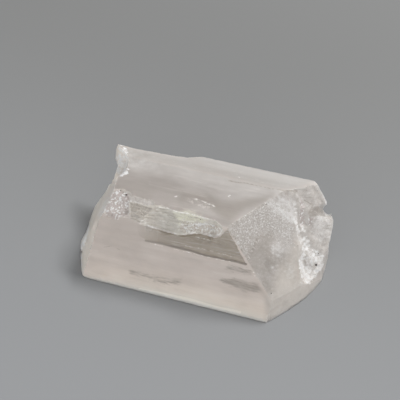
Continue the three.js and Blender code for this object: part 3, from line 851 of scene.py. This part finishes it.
def danburite_material(finish):
    """See-through danburite with milky growth zones, frosted faces and white breaks."""
    material, tree = new_material("danburite")
    place = tree.node("ShaderNodeTexCoord", {}, {}, out="Object") * (1 / MM)
    across, deep, height = (place.part(axis) for axis in range(3))
    broken, end_face, top, bevel, back, strip = (
        tree.attribute(name) for name in ("broken", "end_face", "top", "bevel", "back", "strip")
    )

    def waves(size, detail=2.0, stretch=1.0, roughness=0.55):
        """Noise of about -1 to 1 with waves so many millimetres wide, stretched along the prism."""
        return (tree.noise(place * (1 / stretch, 1.0, 1.0), size, detail, roughness) - 0.5) * 4.0

    def region(name, soft, ragged=0.0, wave=None):
        """1 inside a kind of mark, 0 outside, with a border that is soft and ragged."""
        depth = tree.attribute(name)
        if ragged:
            depth = depth + wave * ragged
        return depth.between(-soft, soft)

    # Patterns in the stone, from the finest to the broadest.
    fine = waves(0.22, 1.0)
    threads = waves(0.26, 2.0, 20.0)
    glance = tree.cells(place, 0.28, out=1).part(0) * 2.0 - 1.0
    grain = waves(0.4, 3.0, 4.5, 0.6)
    flecks = waves(0.6, 3.0, 1.4, 0.65)
    bands = waves(1.8, 3.0, 9.0, 0.55)
    cloud = waves(3.6, 3.0, 1.8)
    shells = ((place - FEATHER_HEART).length() * 6.5 + flecks * 1.2).sine()
    to_facet_edge = tree.cells(place * (0.7, 0.7, 1.5), 1.0, feature="DISTANCE_TO_EDGE")
    crack = 1.0 - (to_facet_edge + flecks * 0.02).between(0.0, 0.08)

    # Where each kind of face and mark is.
    lap = region("lap", 1.6)
    broken = broken * (1.0 - lap)
    end_face = end_face.most(lap)
    grew = (1.0 - top) * (1.0 - end_face) * (1.0 - broken)
    right = across.between(-22.0, -12.0)
    left = 1.0 - right
    corner = (top + bevel).clipped() * (1.0 - across.between(-18.5, -6.0)) * deep.between(3.5, 8.0)
    # painted light: how strongly the front and its foot are brightened, more towards the right
    foot = 0.4 + across.between(-24.0, -9.0) * 0.6
    dimmed = 1.0 - (place - (-13.0, -5.5, 10.0)).length().between(2.0, 8.0)
    frost = region("frost", 1.0, 0.8, flecks) * end_face
    pale = region("pale", 0.6, 0.5, flecks) * (end_face + broken).clipped()
    paleness = 0.24 + height.between(7.0, 13.0) * 0.25
    flake = region("flake", 0.12, 0.25, grain)
    pit = region("pit", 0.15, 0.2, flecks)
    glow = region("glow", 0.8, 0.5, grain)
    sparkle = region("sparkle", 0.25, 0.45, flecks)
    window = region("window", 0.10, 0.10, grain) * across.between(-12.5, -4.0) * (1.0 - flake)
    by_window = tree.attribute("window").between(-0.7, 0.1) * across.between(-12.0, -3.0)
    blush = region("blush", 0.25, 0.3, grain)
    white = region("white", 0.15, 0.45, flecks) * (0.9 + flecks * 0.65 + fine * 0.2).clipped()
    smudge = region("smudge", 0.55, 0.45, grain)
    shade = region("shade", 0.8, 0.4, bands)
    streak = region("streak", 0.35, 0.25, grain)
    dark_line = region("dark_line", 0.08, 0.06, grain)
    bright_line = region("bright_line", 0.07, 0.10, flecks)
    foot_line = region("foot_line", 0.16, 0.05, grain)
    # painted glints: some small cells of the crushed places are coloured bright
    glints = glance * 3.4 - 1.2 + flecks * 0.9 + flake * (0.5 - across.between(-0.5, 3.0) * 0.9)
    glints = glints.clipped()
    whiteness = 0.79 - right * (1.0 - top) * (height.between(6.0, 9.0) * 0.2 + 0.1)

    # How much milk there is, how rough the surface is, and what is too fine for the mesh.
    milk = finish.milkiness + cloud * 0.04 + bands * 0.05 + top * 0.06 + strip * 0.12
    milk = milk - window * (finish.window_clearness + threads * 0.12) - flake * 0.04
    milk = milk - end_face * 0.06 - back * (0.22 + cloud * 0.1)
    milk = milk + (sparkle + white + bright_line + foot_line + dark_line) * 0.3
    inside = tree.node("ShaderNodeNewGeometry", {}, {}, out="Backfacing")
    milk = milk.least(0.96).most(0.04) * (1.0 - inside)
    rough = finish.polish + frost * 0.15 + broken * 0.08 + white * 0.1 - sparkle * 0.12 - window * 0.1
    rough = rough.least(0.6).most(0.03)
    bumps = fine * (frost * 0.5 + end_face * 0.1 + broken * 0.25)
    bumps = bumps + flecks * (broken * 0.5 + sparkle + flake * 0.5)
    bumps = bumps + glance * (frost * 0.2 + sparkle * 0.8 + white * 0.3) + threads * 0.1
    bump = tree.node("ShaderNodeBump", {}, {"Strength": 0.6, "Distance": 0.05 * MM, "Height": bumps})

    # The milk's colour: each coat goes over those before it, as thick as its share says.
    coats = (
        # the top face, and the haze by the broken tip
        (top, finish.top_colour),
        (top * (across.between(-9.0, 9.0) * 0.4 + bands * 0.15 + cloud * 0.22), finish.veil_colour),
        (top * deep.between(2.5, 8.5) * (0.55 + cloud * 0.2).clipped(), finish.veil_colour),
        (corner * (0.18 + cloud * 0.3 + flecks * 0.3), finish.haze_colour),
        # growth bands, and painted light that brightens the front face down to its foot
        (grew * (bands * 0.15 + cloud * 0.2), finish.milk_light),
        (grew * foot * (1.0 - height.between(0.0, 7.0)) * 0.8, finish.painted_light_colour),
        (grew * dimmed * 0.18, finish.dust_and_shade_colour),
        (-(bands * 0.07 + cloud * 0.08 + flecks * 0.03), finish.dust_and_shade_colour),
        # the narrow face behind the top
        (bevel * (0.8 + cloud * 0.2 + flecks * 0.15), finish.bevel_colour),
        (bevel * (flecks * 0.35 + grain * 0.25 - 0.1), finish.milk_light),
        (corner * (0.15 + flecks * 0.4), finish.haze_colour),
        (bevel * (across.between(6.0, 15.0) * 0.12 + deep.between(9.0, 12.0) * 0.4), finish.haze_colour),
        # the breaks, with painted light on those at the left end, which face away from the key lamp
        (broken * 0.9, finish.chip_colour),
        (broken * left * 0.85, finish.painted_light_colour),
        (broken * flecks * 0.5, finish.milk_light),
        (broken * right * crack * 0.35, finish.dust_and_shade_colour),
        (broken * right * (fine * 0.5 + shells * 0.1 - 0.15), finish.break_colour),
        # the oblique end face
        (end_face, finish.end_colour),
        (end_face * (across.between(8.0, 17.0) * 0.55 + flecks * 0.4 + cloud * 0.35), finish.veil_colour),
        (end_face * -(flecks * 0.15 + cloud * 0.2), finish.dust_and_shade_colour),
        (lap * 0.9, finish.lap_colour),
        (lap * -(cloud * 0.12 + flecks * 0.14), finish.dust_and_shade_colour),
        (end_face * (fine * 0.4 + flecks * 0.15 - 0.12), finish.break_colour),
        (frost * 0.25, finish.veil_colour),
        (frost * (fine * 1.2 + flecks * 0.3), finish.break_colour),
        (frost * fine * -0.45, finish.dust_and_shade_colour),
        (pale * (paleness + flecks * 0.3 + fine * 0.15), finish.break_colour),
        # the foot, brightened with painted light, and the dim and pale bands under the faces
        (strip * foot, finish.painted_light_colour),
        (shade * (0.30 + top * 0.18 + bands * 0.1), finish.dust_and_shade_colour),
        (streak * (0.12 + threads * 0.2), finish.milk_light),
        (blush * (0.15 + flecks * 0.5 + fine * 0.35), finish.milk_light),
        # the flake along the ridge
        (flake * 0.9, finish.flake_colour),
        (flake * across.between(-9.0, -6.0) * (0.5 + cloud * 0.3), finish.moss_colour),
        (flake * (grain * 0.45 + flecks * 0.3 + threads * 0.3), finish.milk_light),
        (flake * -(grain * 0.45 + fine * 0.25 + flecks * 0.2 + threads * 0.3), finish.dust_and_shade_colour),
        (glow * (0.62 + grain * 0.4 + fine * 0.3), finish.glow_colour),
        (flake * (grain * 1.2 + fine * 0.4 - 0.95), finish.break_colour),
        # the clear zone, darkened with painted shade for the shadowed floor seen through it
        (window * 0.95, finish.window_shade_colour),
        (window * (threads * 0.7 - 0.1), finish.milk_light),
        (window * -(threads * 0.5 + 0.1), finish.dust_and_shade_colour),
        # hollows darkened with painted shade, and crushed places with painted glints
        (pit * (0.5 - fine * 0.3), finish.dust_and_shade_colour),
        (sparkle * 0.9, finish.blush_colour),
        (sparkle * flake * 0.22, finish.glow_colour),
        # painted glints, white and greenish
        (sparkle * glints, finish.break_colour),
        (sparkle * flake * glints * 0.3, finish.glow_colour),
        (sparkle * -(glance * 0.7 + flecks * 0.8 + 0.6), finish.dust_and_shade_colour),
        # splinters, dusty veils, dark lines and painted highlights
        (white * (whiteness + flecks * 0.5 + right * (shells * 0.22 - crack * 0.25)), finish.break_colour),
        (smudge * (0.65 + grain * 0.25 + cloud * 0.1), finish.dust_and_shade_colour),
        (dark_line * 0.8, finish.dust_and_shade_colour),
        # painted shade along the lower edge of the clear zone
        (dark_line * by_window * (0.65 + grain * 0.25), finish.shadow_colour),
        (bright_line * (0.25 + flecks * 0.7), finish.break_colour),
        (foot_line * 0.8, finish.painted_light_colour),
    )
    body = (*finish.milk_colour, 1)
    for share, colour in coats:
        body = tree.blend(share, body, (*colour, 1))

    both = {"IOR": DANBURITE_IOR, "Normal": bump}
    glassy = {"Base Color": (*finish.clear_colour, 1), "Roughness": rough, "Transmission Weight": 1.0}
    clouded = {
        "Base Color": body, "Roughness": rough + 0.1, "Subsurface Weight": 1.0,
        "Subsurface Radius": (1.0, 1.0, 1.0), "Subsurface Scale": finish.milk_depth,
    }
    clear = tree.node("ShaderNodeBsdfPrincipled", {}, {**glassy, **both})
    milky = tree.node("ShaderNodeBsdfPrincipled", {}, {**clouded, **both})
    stone = tree.node("ShaderNodeMixShader", {}, {0: milk, 1: clear, 2: milky})
    tint = {"Color": (*finish.tint, 1), "Density": finish.tint_density}
    depth = tree.node("ShaderNodeVolumeAbsorption", {}, tint)
    tree.node("ShaderNodeOutputMaterial", {}, {"Surface": stone, "Volume": depth})
    return material


def dull_material(name, paint):
    """A plain rough finish: paint gives its colour and roughness from the tree and the place."""
    material, tree = new_material(name)
    place = tree.node("ShaderNodeTexCoord", {}, {}, out="Object")
    colour, roughness = paint(tree, place)
    surface = tree.node("ShaderNodeBsdfPrincipled", {}, {"Base Color": colour, "Roughness": roughness})
    tree.node("ShaderNodeOutputMaterial", {}, {"Surface": surface})
    return material


def tube_material(finish):
    """Hollow growth tubes: pale where they mirror the light, brown where they don't."""

    def paint(tree, place):
        shift = tree.noise(place, TUBE_GLEAM, 1.0).between(0.42, 0.58)
        return tree.blend(shift, (*finish.tube_dark, 1), (*finish.tube_light, 1)), finish.tube_roughness

    return dull_material("growth tubes", paint)


def dusty_material(name, dark, light, roughness):
    """Dull dirt that is mottled between two colours."""

    def paint(tree, place):
        mottle = tree.noise(place, MOTTLE)
        return tree.blend(mottle.between(0.35, 0.65), (*dark, 1), (*light, 1)), mottle * 0.3 + roughness

    return dull_material(name, paint)


def floor_material(stage):
    """The plain floor, with painted shade that darkens it a little from front to back."""

    def paint(tree, place):
        share = place.part(1).between(*FLOOR_CHANGE)
        return tree.blend(share, (*stage.floor_colour, 1), (*stage.shaded_far_floor, 1)), stage.floor_roughness

    return dull_material("plain floor", paint)


# ---- What a user would change ------------------------------------------------------------------


def number_property(name, description, default, **looks):
    return FloatProperty(name=name, description=description, default=default, **looks)


def length_property(name, description, millimetres):
    return number_property(name, description, millimetres * MM, unit="LENGTH", precision=5)


def share_property(name, description, default):
    return number_property(name, description, default, subtype="FACTOR", min=0, max=1)


def power_property(name, description, default):
    return number_property(name, description, default, unit="POWER")


def angle_property(name, description, default):
    return number_property(name, description, default, unit="ROTATION")


def colour_property(name, description, default):
    looks = {"subtype": "COLOR", "min": 0, "max": 1, "size": 3}
    return FloatVectorProperty(name=name, description=description, default=default, **looks)


class CrystalSettings(bpy.types.PropertyGroup):
    """Sizes of the crystal's mesh, of its relief and of what is sealed in it"""

    face_cell: length_property("Face mesh", "Fine mesh on the growth faces in front and on top", 0.24)
    back_cell: length_property("Back mesh", "Fine mesh on the back face", 0.32)
    base_cell: length_property("Base mesh", "Mesh on the face that rests on the floor", 0.6)
    end_cell: length_property("End mesh", "Fine mesh on the oblique end face", 0.17)
    break_cell: length_property("Break mesh", "Fine mesh on broken faces", 0.18)
    striation_spacing: length_property("Striation spacing", "Between growth lines", 0.7)
    striation_depth: length_property("Striation depth", "Depth of the growth lines", 0.04)
    pit_size: length_property("Pit size", "Etch pits on the oblique end face", 0.6)
    pit_depth: length_property("Pit depth", "Depth of the etch pits", 0.04)
    hackle_size: length_property("Hackle size", "Ridges on broken faces", 1.0)
    hackle_depth: length_property("Hackle depth", "Depth of those ridges", 0.24)
    facet_size: length_property("Facet size", "Small glinting facets in crushed places", 0.45)
    facet_depth: length_property("Facet depth", "How deep the facets cut", 0.30)
    step_width: length_property("Step width", "Width of the treads in the ridge flake", 0.5)
    step_depth: length_property("Step depth", "Height of the steps in the ridge flake", 0.16)
    rib_spacing: length_property("Rib spacing", "Between the ribs of the feather", 1.0)
    rib_depth: length_property("Rib depth", "Depth of the ribs of the feather", 0.22)
    chip_size: length_property("Chip size", "Bruises along the edges", 0.9)
    chip_depth: length_property("Chip depth", "Depth of the bruises", 0.11)
    hollow_size: length_property("Hollow size", "Bites in the left edge", 0.7)
    hollow_depth: length_property("Hollow depth", "Depth of the bites", 0.45)
    corner_size: length_property("Corner size", "How far the two blunted corners reach", 2.2)
    corner_depth: length_property("Corner depth", "How much those corners have lost", 0.55)
    rounding_width: length_property("Rounding width", "How far the worn edges at the left end reach", 2.6)
    rounding_depth: length_property("Rounding depth", "How much those edges have lost", 0.32)
    tube_width: length_property("Tube width", "Thickest growth tube in the clear zone", 0.07)
    tube_length: length_property("Tube length", "Longest growth tube", 6.0)
    tube_density: number_property("Tubes", "Growth tubes in a square metre", 1.6e6)
    droplet_width: length_property("Droplet width", "Largest droplet of the dusty veils", 0.10)
    droplet_density: number_property("Droplets", "Droplets in a square metre", 7.0e7)
    speck_lumps: length_property("Speck lumps", "How uneven the dark specks are", 0.12)


class FinishSettings(bpy.types.PropertyGroup):
    """Colours and clearness of the stone and of what is in it"""

    clear_colour: colour_property("Clear", "Colour of the clear parts", (0.985, 0.965, 0.945))
    milk_colour: colour_property("Front milk", "Milk behind the front face", (0.705, 0.635, 0.59))
    top_colour: colour_property("Top milk", "Milk under the top face", (0.462, 0.424, 0.398))
    milk_light: colour_property("Light milk", "Colour where the milk is thickest", (0.874, 0.837, 0.8))
    veil_colour: colour_property("Veils", "Colour of light veils under the top", (0.66, 0.632, 0.609))
    haze_colour: colour_property("Haze", "White haze by the broken tip", (0.80, 0.785, 0.765))
    bevel_colour: colour_property("Bevel", "The narrow face behind the top", (0.577, 0.558, 0.535))
    chip_colour: colour_property("Chipped", "Colour of the broken right end", (0.627, 0.598, 0.57))
    end_colour: colour_property("End face", "Colour of the oblique end face", (0.55, 0.508, 0.472))
    lap_colour: colour_property("Lap", "Where the end face runs over the break", (0.79, 0.745, 0.695))
    # painted light: the bright foot, and the lighter breaks at the left end
    painted_light_colour: colour_property("Foot", "Colour of the narrow face at the foot", (1.0, 0.905, 0.81))
    break_colour: colour_property("Breaks", "Colour of crushed places", (0.99, 0.985, 0.98))
    blush_colour: colour_property("Blush", "Between the glints of crushed places", (0.62, 0.56, 0.54))
    flake_colour: colour_property("Flake", "Colour of the ridge flake", (0.78, 0.74, 0.675))
    moss_colour: colour_property("Moss", "Grey green of the middle of the ridge flake", (0.63, 0.625, 0.57))
    glow_colour: colour_property("Glow", "Greenish light in the flake's crack", (1.0, 1.0, 0.84))
    # painted shade: the dark of the shadowed floor seen through the clear zone
    window_shade_colour: colour_property("Window", "Brown dark of the clear zone", (0.275, 0.213, 0.125))
    # also the colour of painted shade: the dim bands, the hollows and the dark lines of the clear zone
    dust_and_shade_colour: colour_property("Smudges", "Colour of dusty veils near the front", (0.34, 0.30, 0.26))
    shadow_colour: colour_property("Shadow", "The dark edge of the clear zone", (0.13, 0.09, 0.06))
    tube_dark: colour_property("Dark tubes", "Growth tubes where they are dim", (0.12, 0.09, 0.07))
    tube_light: colour_property("Bright tubes", "Growth tubes where they gleam", (0.95, 0.92, 0.88))
    dust_dark: colour_property("Dark dust", "Darkest droplets of the dusty veils", (0.20, 0.17, 0.14))
    dust_light: colour_property("Light dust", "Lightest droplets of the dusty veils", (0.42, 0.38, 0.33))
    speck_dark: colour_property("Dark specks", "Darkest parts of the specks", (0.012, 0.010, 0.009))
    speck_light: colour_property("Light specks", "Lightest parts of the specks", (0.06, 0.05, 0.042))
    tint: colour_property("Tint", "Colour taken on through the depth of the stone", (0.92, 0.82, 0.74))
    tint_density: number_property("Tint density", "Absorption per metre", 22.0)
    milkiness: share_property("Milkiness", "Share of the light that milk scatters", 0.82)
    window_clearness: share_property("Clear zone", "How much clearer the clear zone is", 0.23)
    milk_depth: length_property("Milk depth", "How far light spreads in the milk", 1.5)
    polish: share_property("Polish", "Roughness of the smooth faces", 0.24)
    tube_roughness: share_property("Tube roughness", "Roughness of the growth tubes", 0.3)
    dust_roughness: share_property("Dust roughness", "Least roughness of the veils", 0.4)
    speck_roughness: share_property("Speck roughness", "Least roughness of the specks", 0.35)


class StageSettings(bpy.types.PropertyGroup):
    """The floor, the light and where the camera stands"""

    # painted shade: the floor is lighter in front and darker behind
    floor_colour: colour_property("Floor", "Colour of the floor in front", (0.353, 0.364, 0.379))
    shaded_far_floor: colour_property("Far floor", "Colour of the floor behind", (0.246, 0.25, 0.25))
    floor_roughness: share_property("Floor roughness", "Roughness of the floor", 0.85)
    sky_strength: number_property("Sky", "Strength of the even light", 0.4)
    key_power: power_property("Key", "Power of the lamp behind", 3.662)
    fill_power: power_property("Fill", "Power of the low panel in front", 1.15)
    left_power: power_property("Left", "Power of the low panel at the left", 0.25)
    azimuth: angle_property("Azimuth", "How far the camera stands round from the front", PLAN_TURN)
    elevation: angle_property("Elevation", "How far the camera stands above the floor", PLAN_TILT)
    distance: length_property("Distance", "From the camera to the point it looks at", 127.3)


# ---- Operators ---------------------------------------------------------------------------------


class OBJECT_OT_danburite_prism(bpy.types.Operator):
    """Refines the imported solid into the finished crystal"""

    bl_idname = "object.danburite_prism"
    bl_label = "Crystal"

    def execute(self, context):
        sizes = context.scene.crystal_settings
        material = danburite_material(context.scene.crystal_finish)
        solid = merged_solid()
        crystal = new_object("crystal", fine_mesh(solid, sizes))
        solid.free()
        lay_out_marks(crystal.data)
        values = {name: getattr(sizes, name.lower().replace(" ", "_")) for name in RELIEF_SIZES}
        grown(crystal, relief_tree(material), values)
        crystal.data.shade_smooth()
        crystal.data.set_sharp_from_angle(angle=SHARP_ANGLE)
        smooth_worn_edges(crystal.data)
        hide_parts(NODE)
        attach(crystal, BODY)
        return {"FINISHED"}


def sealed_piece(name, mark, is_tube, material, values):
    """Strews one kind of thing inside the finished crystal."""
    skin = bmesh.new()
    skin.from_mesh(bpy.data.objects["crystal"].data)
    piece = new_object(name, bpy.data.objects["crystal"].data.copy())
    grown(piece, sealed_tree(name, mark, is_tube, material), values)
    keep_sealed(piece, skin)
    skin.free()
    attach(piece, BODY)


class OBJECT_OT_growth_tubes(bpy.types.Operator):
    """Runs hollow growth tubes through the clear zone"""

    bl_idname = "object.growth_tubes"
    bl_label = "Growth tubes"

    def execute(self, context):
        sizes = context.scene.crystal_settings
        values = {
            "Shallowest": 0.2 * MM, "Deepest": 2.5 * MM, "Width": sizes.tube_width,
            "Length": sizes.tube_length, "Density": sizes.tube_density, "Fade": 1.5, "Seed": 4,
        }
        tubes = tube_material(context.scene.crystal_finish)
        sealed_piece("growth_tubes", "window", True, tubes, values)
        return {"FINISHED"}


class OBJECT_OT_dusty_veils(bpy.types.Operator):
    """Strews the fine droplets of the dusty veils close under the front face"""

    bl_idname = "object.dusty_veils"
    bl_label = "Dusty veils"

    def execute(self, context):
        sizes = context.scene.crystal_settings
        values = {
            "Shallowest": 0.15 * MM, "Deepest": 0.9 * MM, "Width": sizes.droplet_width, "Length": 0.0,
            "Density": sizes.droplet_density, "Fade": 0.6, "Seed": 9,
        }
        finish = context.scene.crystal_finish
        dust = dusty_material("veil dust", finish.dust_dark, finish.dust_light, finish.dust_roughness)
        sealed_piece("dusty_veils", "smudge", False, dust, values)
        return {"FINISHED"}


class OBJECT_OT_dark_specks(bpy.types.Operator):
    """Sets the few dark grains into the broken places"""

    bl_idname = "object.dark_specks"
    bl_label = "Dark specks"

    def execute(self, context):
        mesh = bpy.data.meshes.new("specks")
        mesh.from_pydata([metres(speck[:3]) for speck in SPECKS], [], [])
        half_widths = [speck[3] * MM for speck in SPECKS]
        mesh.attributes.new("half_width", "FLOAT", "POINT").data.foreach_set("value", half_widths)
        specks = new_object("dark_specks", mesh)
        finish = context.scene.crystal_finish
        dirt = dusty_material("dark specks", finish.speck_dark, finish.speck_light, finish.speck_roughness)
        grown(specks, speck_tree(dirt), {"Lumps": context.scene.crystal_settings.speck_lumps})
        specks.data.shade_smooth()
        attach(specks, BODY)
        return {"FINISHED"}


LAMPS = (  # name, place in metres, width and height, the setting of its power, colour
    ("key lamp", (0.26, 0.40, 0.55), (0.30, 0.08), "key_power", (1.0, 0.99, 0.98)),
    ("low panel", (0.08, -0.45, 0.08), (1.1, 0.2), "fill_power", (1.0, 0.975, 0.95)),
    ("left panel", (-0.45, -0.15, 0.08), (0.3, 0.2), "left_power", (1.0, 0.99, 0.98)),
)
FLOOR_HALF = 1.0
FLOOR_DROP = 0.04 * MM  # how far the floor lies under the crystal
LENS, SENSOR_WIDTH = 54, 36
NEAREST_SEEN, FARTHEST_SEEN = 0.001, 10
CAMERA_AIM = (-3.56, 10.715, 0.0)  # where the camera looks, in millimetres
SEE_THROUGH_BOUNCES, MIRROR_BOUNCES = 24, 12


def soft_lamp(name, place, size, power, colour):
    """A flat lamp, so wide and so high, that faces the crystal."""
    lamp = bpy.data.lights.new(name, "AREA")
    lamp.shape = "RECTANGLE"
    lamp.size, lamp.size_y = size
    lamp.energy = power
    lamp.color = colour
    holder = new_object(name, lamp)
    holder.location = place
    holder.rotation_euler = holder.location.to_track_quat("Z", "Y").to_euler()


class OBJECT_OT_crystal_stage(bpy.types.Operator):
    """Lays the floor and sets the light and the camera"""

    bl_idname = "object.crystal_stage"
    bl_label = "Stage"

    def execute(self, context):
        scene = context.scene
        stage = scene.crystal_stage
        mesh = bpy.data.meshes.new("floor")
        half, drop = FLOOR_HALF, FLOOR_DROP
        corners = [(-half, -half, -drop), (half, -half, -drop), (half, half, -drop), (-half, half, -drop)]
        mesh.from_pydata(corners, [], [(0, 1, 2, 3)])
        mesh.materials.append(floor_material(stage))
        floor = new_object("floor", mesh)

        world = bpy.data.worlds.new("even sky")
        world.use_nodes = True
        sky = world.node_tree.nodes["Background"].inputs
        sky["Color"].default_value = (1, 1, 1, 1)
        sky["Strength"].default_value = stage.sky_strength
        scene.world = world
        for name, place, size, power, colour in LAMPS:
            soft_lamp(name, place, size, getattr(stage, power), colour)

        lens = bpy.data.cameras.new("camera")
        lens.lens, lens.sensor_width = LENS, SENSOR_WIDTH
        lens.clip_start, lens.clip_end = NEAREST_SEEN, FARTHEST_SEEN
        camera = new_object("camera", lens)
        back = direction(stage.azimuth, stage.elevation)
        camera.location = Vector(metres(CAMERA_AIM)) + back * stage.distance
        camera.rotation_euler = back.to_track_quat("Z", "Y").to_euler()
        scene.camera = camera
        scene.view_settings.view_transform = "Standard"
        scene.cycles.max_bounces = SEE_THROUGH_BOUNCES
        scene.cycles.transmission_bounces = SEE_THROUGH_BOUNCES
        scene.cycles.glossy_bounces = MIRROR_BOUNCES
        return {"FINISHED"}


class VIEW3D_PT_crystal(bpy.types.Panel):
    """Lists the crystal's pieces and settings"""

    bl_idname = "VIEW3D_PT_crystal"
    bl_label = "Danburite crystal"
    bl_space_type = "VIEW_3D"
    bl_region_type = "UI"
    bl_category = "Crystal"

    def draw(self, context):
        for operator in OPERATORS:
            self.layout.operator(operator.bl_idname)
        for name, group in SETTINGS.items():
            box = self.layout.box()
            for setting in group.__annotations__:
                box.prop(getattr(context.scene, name), setting)


SETTINGS = {
    "crystal_settings": CrystalSettings,
    "crystal_finish": FinishSettings,
    "crystal_stage": StageSettings,
}
OPERATORS = (
    OBJECT_OT_danburite_prism, OBJECT_OT_growth_tubes, OBJECT_OT_dusty_veils, OBJECT_OT_dark_specks,
    OBJECT_OT_crystal_stage,
)


def register():
    for cls in (*SETTINGS.values(), *OPERATORS, VIEW3D_PT_crystal):
        bpy.utils.register_class(cls)
    for name, group in SETTINGS.items():
        setattr(bpy.types.Scene, name, PointerProperty(type=group))


def unregister():
    for name in SETTINGS:
        delattr(bpy.types.Scene, name)
    for cls in reversed((*SETTINGS.values(), *OPERATORS, VIEW3D_PT_crystal)):
        bpy.utils.unregister_class(cls)


def main():
    register()
    bpy.ops.object.danburite_prism()
    bpy.ops.object.growth_tubes()
    bpy.ops.object.dusty_veils()
    bpy.ops.object.dark_specks()
    bpy.ops.object.crystal_stage()


if __name__ == "__main__":
    main()
